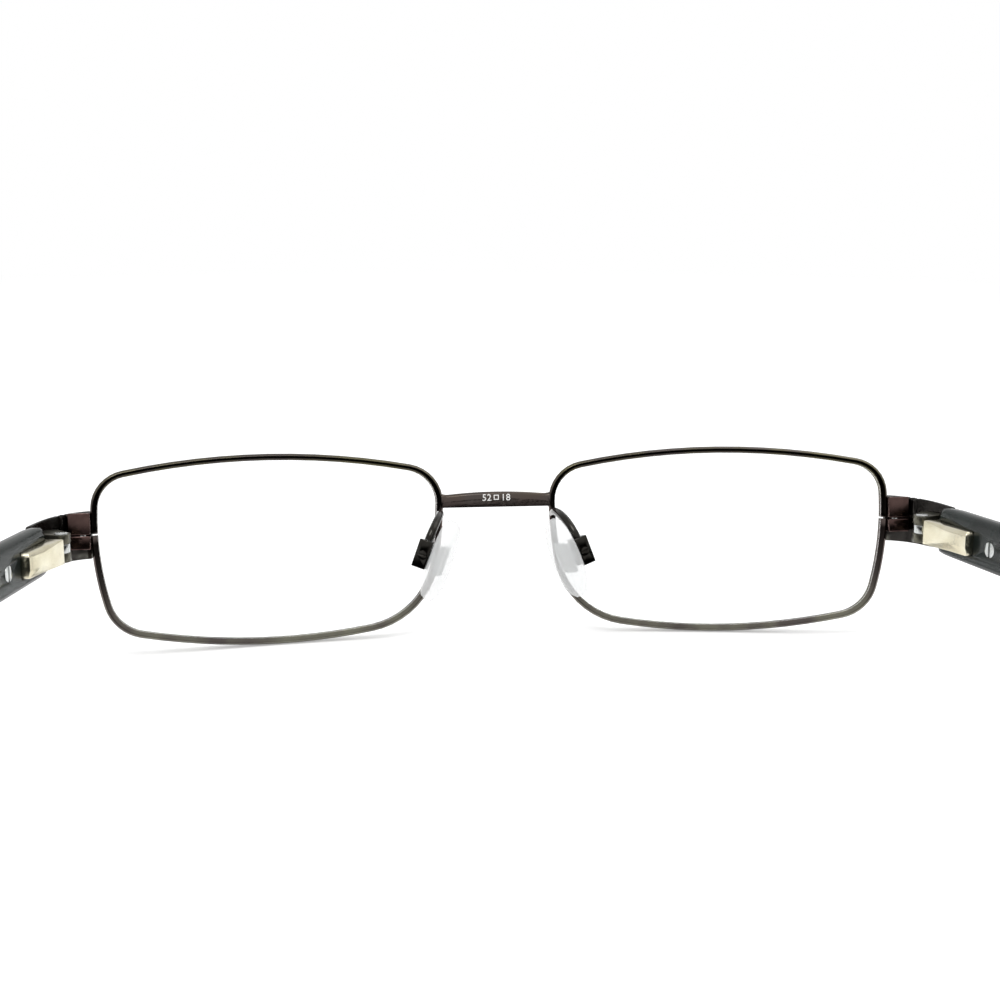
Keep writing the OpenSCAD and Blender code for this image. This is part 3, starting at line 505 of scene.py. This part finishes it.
@dataclass
class SizeMark:
    """The size mark printed on the back of the bridge: lens width, a small square, nose gap."""

    bridge: bpy.types.Object
    lens_width: str = "52"
    nose_gap: str = "18"
    height_mm: float = 1.03
    cap_share: float = 0.7
    stroke_swell_mm: float = 0.012
    curve_steps: int = 4
    letter_spacing: float = 1.04
    square_mm: float = 0.8
    line_mm: float = 0.14
    gap_mm: float = 0.34
    middle_mm: tuple[float, float] = (0.03, 7.26)
    behind_mm: float = -2.0
    ink_mm: float = 0.015
    strips: int = 10

    def build(self) -> bpy.types.Object:
        """Sets the numbers, lays them on the bridge and gives them the ink's thickness.

        Returns:
            The mark, as one piece.
        """
        front = FrontPlane.from_joints()
        parts = [self._number(self.lens_width, -1), self._number(self.nose_gap, 1), self._square()]
        deselect_all()
        for part in parts:
            part.select_set(True)
        bpy.context.view_layer.objects.active = parts[0]
        bpy.ops.object.join()
        mark = bpy.context.object
        mark.name = "size_mark"
        mark.data.name = "size_mark"
        stand = Matrix.Rotation(math.radians(90), 4, "X")
        middle = front.place(self.middle_mm[0], self.behind_mm, self.middle_mm[1])
        mark.data.transform(Matrix.Translation(middle) @ front.turn.to_4x4() @ stand)
        self._lay_on_bridge(mark, front)
        return dress(mark, MARK_INK, "front")

    def _number(self, digits: str, side: int) -> bpy.types.Object:
        """Makes one number as a flat mesh beside the square.

        Args:
            digits: The number.
            side: -1 for the left of the square and 1 for the right.

        Returns:
            The number's object, with its place in its mesh.
        """
        deselect_all()
        bpy.ops.object.text_add(location=(0, 0, 0))
        text = bpy.context.object
        text.data.body = digits
        text.data.size = self.height_mm * MM / self.cap_share
        text.data.offset = self.stroke_swell_mm * MM
        text.data.resolution_u = self.curve_steps
        text.data.space_character = self.letter_spacing
        text.data.align_x = "RIGHT" if side < 0 else "LEFT"
        bpy.ops.object.convert(target="MESH")
        number = bpy.context.object
        shift = side * (self.square_mm / 2 + self.gap_mm)
        number.data.transform(Matrix.Translation((shift * MM, -self.height_mm / 2 * MM, 0)))
        return number

    def _square(self) -> bpy.types.Object:
        """Makes the small square frame between the numbers.

        Returns:
            The frame's object.
        """
        deselect_all()
        bpy.ops.mesh.primitive_plane_add(size=self.square_mm * MM, location=(0, 0, 0))
        square = bpy.context.object
        bpy.ops.object.mode_set(mode="EDIT")
        bpy.ops.mesh.select_all(action="SELECT")
        bpy.ops.mesh.inset(thickness=self.line_mm * MM)
        bpy.ops.mesh.delete(type="FACE")
        bpy.ops.object.mode_set(mode="OBJECT")
        return square

    def _lay_on_bridge(self, mark: bpy.types.Object, front: FrontPlane) -> None:
        """Presses the flat mark onto the bridge's back face and thickens it to a film of ink.

        It is cut into level strips first, so that it follows the bar's round back.

        Args:
            mark: The flat mark, which stands behind the bridge.
            front: The lens plane's place.
        """
        make_active(mark)
        bpy.ops.object.mode_set(mode="EDIT")
        bpy.ops.mesh.select_all(action="SELECT")
        bpy.ops.mesh.quads_convert_to_tris()
        up = front.turn @ Vector((0, 0, 1))
        for i in range(-self.strips, self.strips + 1):
            rise_mm = i * self.height_mm / (2 * self.strips)
            level = front.place(0, 0, self.middle_mm[1] + rise_mm)
            bpy.ops.mesh.select_all(action="SELECT")
            bpy.ops.mesh.bisect(plane_co=level, plane_no=up)
        bpy.ops.object.mode_set(mode="OBJECT")
        forward = front.turn @ Vector((0, 1, 0))
        for vertex in mark.data.vertices:
            hit, place, _normal, _index = self.bridge.ray_cast(vertex.co, forward)
            if hit:
                vertex.co = place - forward * self.ink_mm * MM
        film = mark.modifiers.new("ink_film", "SOLIDIFY")
        film.thickness = self.ink_mm * MM
        film.offset = -1.0
        bpy.ops.object.modifier_apply(modifier=film.name)


@dataclass
class ClearLens:
    """One lens: its two faces are refined until they are true spherical caps."""

    side: Side
    centre_mm: float = 35.0
    curve_mm: float = 130.0
    thickness_mm: float = 1.3
    face_form_deg: float = 7.0
    cuts: int = 3
    near_mm: float = 0.03
    smooth_deg: float = 25.0

    def build(self) -> bpy.types.Object:
        """Refines and dresses the lens.

        Returns:
            The lens.
        """
        side, outward = self.side.value, self.side.outward
        front = FrontPlane.from_joints()
        turn = math.radians(self.face_form_deg)
        ahead = front.turn @ Vector((outward * math.sin(turn), math.cos(turn), 0))
        centre = front.place(outward * self.centre_mm, 0, 0)
        lens = merged_copy(f"lens_{side}", f"clear_lens_{side}", plain_faces=False)
        for half in (0.5, -0.5):
            self._true_cap(lens, centre, ahead, half * self.thickness_mm * MM)
        shade(lens, self.smooth_deg)
        return dress(lens, CLEAR_LENS, "front", f"lens_{side}")

    def _on_cap(self, place: Vector, centre: Vector, ahead: Vector, rise: float) -> Vector:
        """Moves a point along the lens's axis onto one of its spherical faces.

        Args:
            place: The point.
            centre: The middle of the lens.
            ahead: The lens's axis, forward.
            rise: How far the face's top stands ahead of the middle.

        Returns:
            The point on the face.
        """
        flat = place - ahead * (place - centre).dot(ahead)
        curve, reach = self.curve_mm * MM, (flat - centre).length
        return flat + ahead * (math.sqrt(curve * curve - reach * reach) - curve + rise)

    def _true_cap(self, lens: bpy.types.Object, centre: Vector, ahead: Vector, rise: float) -> None:
        """Divides one face of the lens finely and lays it on its sphere.

        Args:
            lens: The lens.
            centre: The middle of the lens.
            ahead: The lens's axis, forward.
            rise: How far the face's top stands ahead of the middle.
        """
        near = self.near_mm * MM
        on_cap = [
            (vertex.co - self._on_cap(vertex.co, centre, ahead, rise)).length < near
            for vertex in lens.data.vertices
        ]
        for vertex in lens.data.vertices:
            vertex.select = False
        for edge in lens.data.edges:
            edge.select = False
        for face in lens.data.polygons:
            face.select = all(on_cap[index] for index in face.vertices)
        make_active(lens)
        bpy.ops.object.mode_set(mode="EDIT")
        bpy.ops.mesh.select_mode(type="FACE")
        bpy.ops.mesh.subdivide(number_cuts=self.cuts)
        bpy.ops.object.mode_set(mode="OBJECT")
        moved = {index for face in lens.data.polygons if face.select for index in face.vertices}
        for index in moved:
            vertex = lens.data.vertices[index]
            vertex.co = self._on_cap(vertex.co, centre, ahead, rise)


@dataclass
class MetalFront:
    """Eyewires, lenses, bridge, endpieces, closing blocks and their screws."""

    body: str = "front"
    bridge_round_mm: float = 0.07
    rim_round_mm: float = 0.05
    band_round_mm: float = 0.26
    block_round_mm: float = 0.13
    screw_round_mm: float = 0.04

    def build(self) -> list[bpy.types.Object]:
        """Builds and dresses the front's pieces.

        Returns:
            The pieces.
        """
        bridge = Refined(
            "bridge", "bridge_bar", GUNMETAL, self.body, self.bridge_round_mm, round_from_deg=30
        ).build()
        pieces = [bridge, SizeMark(bridge).build()]
        for side in Side:
            pieces += [plan.build() for plan in self._side_plans(side.value)]
            pieces.append(ClearLens(side).build())
        return pieces

    def _side_plans(self, side: str) -> list[Refined]:
        """Lists how one side's pieces are refined.

        Args:
            side: The side's name.

        Returns:
            The plans.
        """
        rim = Refined(
            f"eyewire_{side}", f"rim_{side}", GUNMETAL, self.body, self.rim_round_mm, smooth_deg=34
        )
        band = Refined(
            f"endpiece_{side}", f"endpiece_band_{side}", BAND_WITH_PAINTED_FLOOR_REFLECTION, self.body, self.band_round_mm,
            round_from_deg=60,
        )
        blocks = [
            Refined(
                f"{level}_closing_block_{side}", f"{level}_block_{side}", BROWN_PLATING, self.body,
                self.block_round_mm, round_from_deg=40,
            )
            for level in ("upper", "lower")
        ]
        screw = Refined(
            f"rim_lock_screw_{side}", f"rim_screw_{side}", BRIGHT_STEEL, self.body,
            self.screw_round_mm,
        )
        return [rim, band, *blocks, screw]


@dataclass
class SpringHinge:
    """One side's knuckles, hinge screw, slider, spring and casing."""

    side: Side
    knuckle_round_mm: float = 0.06
    casing_round_mm: float = 0.09
    screw_round_mm: float = 0.04

    def build(self) -> list[bpy.types.Object]:
        """Builds and dresses the hinge's pieces.

        Returns:
            The pieces.
        """
        side = self.side.value
        slider, temple = f"slider_{side}", f"temple_{side}"
        plans = (
            Refined(
                f"front_hinge_{side}", f"front_knuckles_{side}", HINGE_GREY, "front",
                self.knuckle_round_mm,
            ),
            Refined(
                f"hinge_screw_{side}", f"pin_screw_{side}", BRIGHT_STEEL, "front",
                self.screw_round_mm,
            ),
            Refined(
                f"slider_{side}", f"slider_knuckle_{side}", BRIGHT_STEEL, slider,
                self.knuckle_round_mm,
            ),
            Refined(f"spring_{side}", f"coil_{side}", BRIGHT_STEEL, slider, smooth_deg=70),
            Refined(
                f"spring_casing_{side}", f"casing_{side}", CHAMPAGNE, temple,
                self.casing_round_mm, round_from_deg=16,
            ),
        )
        return [plan.build() for plan in plans]


@dataclass
class Temple:
    """One temple with its metal core and screw."""

    side: Side
    screw_round_mm: float = 0.05

    def build(self) -> list[bpy.types.Object]:
        """Builds and dresses the temple's pieces.

        Returns:
            The pieces.
        """
        side = self.side.value
        body = f"temple_{side}"
        plans = (
            Refined(f"temple_{side}", f"temple_arm_{side}", SLATE_ACETATE, body, smooth_deg=38),
            Refined(f"temple_core_{side}", f"core_bar_{side}", BRIGHT_STEEL, body, smooth_deg=20),
            Refined(
                f"temple_screw_{side}", f"core_screw_{side}", BRIGHT_STEEL, body,
                self.screw_round_mm,
            ),
        )
        return [plan.build() for plan in plans]


@dataclass
class NosePad:
    """One nose pad with its plate, box, screw and wire arm."""

    side: Side
    box_round_mm: float = 0.1
    screw_round_mm: float = 0.05

    def build(self) -> list[bpy.types.Object]:
        """Builds and dresses the pad's pieces.

        Returns:
            The pieces.
        """
        side = self.side.value
        pad = f"pad_{side}"
        plans = (
            Refined(f"pad_arm_{side}", f"guard_arm_{side}", BLACK_PLATING, "front", smooth_deg=50),
            Refined(
                f"pad_box_{side}", f"guard_box_{side}", BLACK_PLATING, "front",
                self.box_round_mm, round_from_deg=40,
            ),
            Refined(
                f"pad_screw_{side}", f"guard_screw_{side}", BLACK_PLATING, "front",
                self.screw_round_mm,
            ),
            Refined(f"pad_core_{side}", f"pad_plate_{side}", PAD_PLATE, pad, smooth_deg=30),
            Refined(f"nose_pad_{side}", f"silicone_pad_{side}", SILICONE, pad, smooth_deg=60),
        )
        return [plan.build() for plan in plans]


@dataclass(frozen=True)
class Softbox:
    """A square lamp: its place and side in metres and its power in watts."""

    name: str
    place_m: tuple[float, float, float]
    side_m: float
    power_w: float

    def hang(self, aim_m: tuple[float, float, float]) -> None:
        """Hangs the lamp and turns it.

        Args:
            aim_m: The point that it faces.
        """
        lamp = bpy.data.lights.new(self.name, "AREA")
        lamp.shape = "SQUARE"
        lamp.size = self.side_m
        lamp.energy = self.power_w
        holder = bpy.data.objects.new(self.name, lamp)
        bpy.context.scene.collection.objects.link(holder)
        holder.location = self.place_m
        facing = Vector(aim_m) - Vector(self.place_m)
        holder.rotation_euler = facing.to_track_quat("-Z", "Y").to_euler()


@dataclass
class Studio:
    """A white sweep, soft lamps and the camera on the wearer's side.

    The pairs lit_to_m, dark_from_m, room_rise and room_ahead say where a change starts and where
    it ends: the floor from lit paper to plain white by its distance from the middle, the mirrored
    floor from white to black along Y, the mirrored room's ramp of shades by the Z of a direction,
    and the room's change to its bright front by the Y. A shade is a place in the ramp and a grey.
    """

    lens_mm: float = 48.6
    sensor_mm: float = 36.0
    clip_m: tuple[float, float] = (0.005, 20.0)
    eye_mm: tuple[float, float, float] = (-19.754, -131.411, 74.867)
    right: tuple[float, float, float] = (0.995155, -0.098162, 0.00548)
    forward: tuple[float, float, float] = (0.096313, 0.962186, -0.254799)
    paper: str = "#f4f4f4"
    sweep_half_m: float = 3.0
    sweep_lift: float = 0.3
    lit_to_m: tuple[float, float] = (0.2, 0.7)
    dark_from_m: tuple[float, float] = (0.055, -0.01)
    lamps: tuple[Softbox, ...] = (
        Softbox("key_softbox", (-0.12, -0.12, 0.6), 0.3, 1.3),
        Softbox("fill_softbox", (0.35, 0.3, 0.6), 0.5, 0.7),
    )
    lamp_aim_m: tuple[float, float, float] = (0.0, 0.03, 0.0)
    soft_light: float = 0.75
    bright_grey: float = 0.8
    room_rise: tuple[float, float] = (-0.1, 0.9)
    room_ahead: tuple[float, float] = (-0.35, 0.35)
    room_shades: tuple[tuple[float, float], ...] = (
        (0.0, 0.0), (0.17, 0.015), (0.23, 0.1), (0.29, 0.26), (0.42, 0.75), (1.0, 0.95),
    )

    def build(self) -> None:
        """Builds the floor, the lamps, the world and the camera."""
        self._floor()
        for lamp in self.lamps:
            lamp.hang(self.lamp_aim_m)
        self._world()
        self._camera()

    @staticmethod
    def _seen(tree: bpy.types.NodeTree, path: bpy.types.Node) -> bpy.types.NodeSocket:
        """Marks the rays that look at the surroundings straight or through clear pieces.

        Args:
            tree: The nodes to add to.
            path: Their light path node.

        Returns:
            A socket that is 1 for those rays.
        """
        seen = add_node(
            tree, "ShaderNodeMath", {"operation": "MAXIMUM"},
            {0: path.outputs["Is Camera Ray"], 1: path.outputs["Is Transmission Ray"]},
        )
        return seen.outputs[0]

    def _floor(self) -> None:
        """Lays a white floor that shows as white and keeps the soft shadows."""
        deselect_all()
        bpy.ops.mesh.primitive_plane_add(size=2 * self.sweep_half_m, location=(0, 0, 0))
        floor = bpy.context.object
        floor.name = "studio_floor"
        floor.data.materials.append(self._sweep())

    def _sweep(self) -> bpy.types.Material:
        """Makes the floor's matt white paper.

        Near the glasses it is lit paper with a little lift, and further out it fades to plain
        white. Between the glasses and the camera it fades to black for reflections alone, as the
        dark side of the room does in the polished metal. A ray through a lens counts as glossy
        too, so it is left out there.

        Returns:
            The new material.
        """
        material = bpy.data.materials.new("matt_white_sweep")
        material.use_nodes = True
        tree = material.node_tree
        tree.nodes.clear()
        place = add_node(tree, "ShaderNodeTexCoord")
        path = add_node(tree, "ShaderNodeLightPath")
        split = add_node(tree, "ShaderNodeSeparateXYZ", None, {"Vector": place.outputs["Object"]})
        reach = add_node(
            tree, "ShaderNodeVectorMath", {"operation": "LENGTH"}, {0: place.outputs["Object"]}
        )
        far = add_node(
            tree, "ShaderNodeMapRange",
            {"From Min": self.lit_to_m[0], "From Max": self.lit_to_m[1]},
            {"Value": reach.outputs["Value"]},
        )
        behind = add_node(
            tree, "ShaderNodeMapRange",
            {"From Min": self.dark_from_m[0], "From Max": self.dark_from_m[1]},
            {"Value": split.outputs["Y"]},
        )
        mirrored = add_node(
            tree, "ShaderNodeMath", {"operation": "SUBTRACT", "use_clamp": True},
            {0: path.outputs["Is Glossy Ray"], 1: path.outputs["Is Transmission Ray"]},
        )
        dark = add_node(
            tree, "ShaderNodeMath", {"operation": "MULTIPLY"},
            {0: behind.outputs["Result"], 1: mirrored.outputs[0]},
        )
        shown = add_node(
            tree, "ShaderNodeMath", {"operation": "MAXIMUM"},
            {0: self._seen(tree, path), 1: path.outputs["Is Glossy Ray"]},
        )
        paper = add_node(tree, "ShaderNodeBsdfDiffuse", {"Color": linear(self.paper)})
        lift_amount = add_node(
            tree, "ShaderNodeMath", {"operation": "MULTIPLY", 1: self.sweep_lift},
            {0: shown.outputs[0]},
        )
        lift = add_node(
            tree, "ShaderNodeEmission", {"Color": WHITE}, {"Strength": lift_amount.outputs[0]}
        )
        near = add_node(
            tree, "ShaderNodeAddShader", None,
            {0: paper.outputs["BSDF"], 1: lift.outputs["Emission"]},
        )
        white = add_node(tree, "ShaderNodeEmission", {"Color": WHITE, "Strength": 1.0})
        black = add_node(tree, "ShaderNodeEmission", {"Color": BLACK, "Strength": 0.0})
        fade = add_node(
            tree, "ShaderNodeMixShader", None,
            {0: far.outputs["Result"], 1: near.outputs["Shader"], 2: white.outputs["Emission"]},
        )
        surface = add_node(
            tree, "ShaderNodeMixShader", None,
            {0: dark.outputs[0], 1: fade.outputs["Shader"], 2: black.outputs["Emission"]},
        )
        add_node(tree, "ShaderNodeOutputMaterial", None, {"Surface": surface.outputs["Shader"]})
        return material

    def _world(self) -> None:
        """Sets an even soft light and the room that polished pieces mirror.

        The mirrored room is bright in front and above and dims toward the camera's horizon.
        The camera and what lies behind clear pieces see plain white.
        """
        world = bpy.data.worlds.new("studio_world")
        bpy.context.scene.world = world
        world.use_nodes = True
        tree = world.node_tree
        tree.nodes.clear()
        path = add_node(tree, "ShaderNodeLightPath")
        place = add_node(tree, "ShaderNodeTexCoord")
        split = add_node(
            tree, "ShaderNodeSeparateXYZ", None, {"Vector": place.outputs["Generated"]}
        )
        rise = add_node(
            tree, "ShaderNodeMapRange",
            {"From Min": self.room_rise[0], "From Max": self.room_rise[1]},
            {"Value": split.outputs["Z"]},
        )
        dusk = add_node(tree, "ShaderNodeValToRGB", None, {"Fac": rise.outputs["Result"]})
        set_stops(dusk, [(height, (grey, grey, grey, 1.0)) for height, grey in self.room_shades])
        ahead = add_node(
            tree, "ShaderNodeMapRange",
            {"From Min": self.room_ahead[0], "From Max": self.room_ahead[1]},
            {"Value": split.outputs["Y"]},
        )
        bright = (self.bright_grey, self.bright_grey, self.bright_grey, 1.0)
        sky = add_node(
            tree, "ShaderNodeMix", {"data_type": "RGBA", 7: bright},
            {0: ahead.outputs["Result"], 6: dusk.outputs["Color"]},
        )
        room = add_node(tree, "ShaderNodeBackground", {"Strength": 1.0}, {"Color": sky.outputs[2]})
        plain = add_node(
            tree, "ShaderNodeBackground", {"Color": WHITE, "Strength": self.soft_light}
        )
        soft = add_node(
            tree, "ShaderNodeMixShader", None,
            {
                0: path.outputs["Is Glossy Ray"],
                1: plain.outputs["Background"],
                2: room.outputs["Background"],
            },
        )
        white = add_node(tree, "ShaderNodeBackground", {"Color": WHITE, "Strength": 1.0})
        both = add_node(
            tree, "ShaderNodeMixShader", None,
            {0: self._seen(tree, path), 1: soft.outputs["Shader"], 2: white.outputs["Background"]},
        )
        add_node(tree, "ShaderNodeOutputWorld", None, {"Surface": both.outputs["Shader"]})

    def _camera(self) -> None:
        """Places the camera where the photograph was taken from."""
        data = bpy.data.cameras.new("photo_camera")
        data.lens = self.lens_mm
        data.sensor_width = self.sensor_mm
        data.clip_start, data.clip_end = self.clip_m
        camera = bpy.data.objects.new("photo_camera", data)
        bpy.context.scene.collection.objects.link(camera)
        forward = Vector(self.forward).normalized()
        right = Vector(self.right)
        right = (right - forward * right.dot(forward)).normalized()
        up = right.cross(forward)
        turn = Matrix((right, up, -forward)).transposed()
        camera.matrix_world = Matrix.Translation(Vector(self.eye_mm) * MM) @ turn.to_4x4()
        bpy.context.scene.camera = camera


def main() -> None:
    """Builds the glasses and the studio, and reports each piece."""
    logging.basicConfig(level=logging.INFO, format="%(message)s")
    bpy.context.scene.view_settings.view_transform = "Standard"
    groups: list[tuple[str, list[bpy.types.Object]]] = [("metal front", MetalFront().build())]
    for side in Side:
        groups.append((f"{side.value} hinge", SpringHinge(side).build()))
        groups.append((f"{side.value} temple", Temple(side).build()))
        groups.append((f"{side.value} nose pad", NosePad(side).build()))
    for title, pieces in groups:
        for piece in pieces:
            LOG.info("%s: %s, %d faces", title, piece.name, len(piece.data.polygons))
    Studio().build()


if __name__ == "__main__":
    main()
